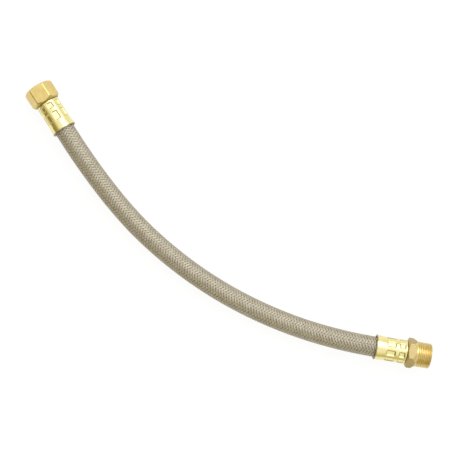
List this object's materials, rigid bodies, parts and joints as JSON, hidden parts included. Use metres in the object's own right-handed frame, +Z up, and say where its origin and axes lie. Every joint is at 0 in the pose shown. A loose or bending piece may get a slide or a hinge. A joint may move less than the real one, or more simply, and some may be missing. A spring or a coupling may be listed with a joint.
{
  "type": "flexible water connector",
  "caption": "Flexible water connector: rubber tube in a woven steel jacket, brass swivel nut at one end and tapered male pipe thread at the other, crimped brass ferrules.",
  "frame": {"origin": "on the surface that the part lies on, below the centre of the bounding box of its end pieces", "axes": "+Z up from that surface; +X along the longer side of the bounding box, from the swivel nut towards the threaded end; the nut is at +Y and the threaded end at -Y"},
  "size_m": [0.4136, 0.2932, 0.0299],
  "materials": {
    "nut_brass": "satin, tumbled",
    "fitting_brass": "satin, turned",
    "ferrule_brass": "polished, pale",
    "washer_rubber": "matte",
    "tube_rubber": "matte",
    "woven_steel": "woven wire, satin"
  },
  "bodies": {
    "hose_assembly": {"nut_tailpiece": "fitting_brass", "nut_side_ferrule": "ferrule_brass", "inner_tube": "tube_rubber", "steel_braid": "woven_steel", "thread_side_ferrule": "ferrule_brass", "male_fitting": "fitting_brass"},
    "nut": {"swivel_nut": "nut_brass", "sealing_washer": "washer_rubber"}
  },
  "joints": [
    {"name": "nut_swivel", "type": "hinge", "parent": "hose_assembly", "child": "nut", "pos_m": [-0.18684, 0.12726, 0.0135], "axis": [-0.5446, 0.8387, 0], "continuous": true}
  ]
}
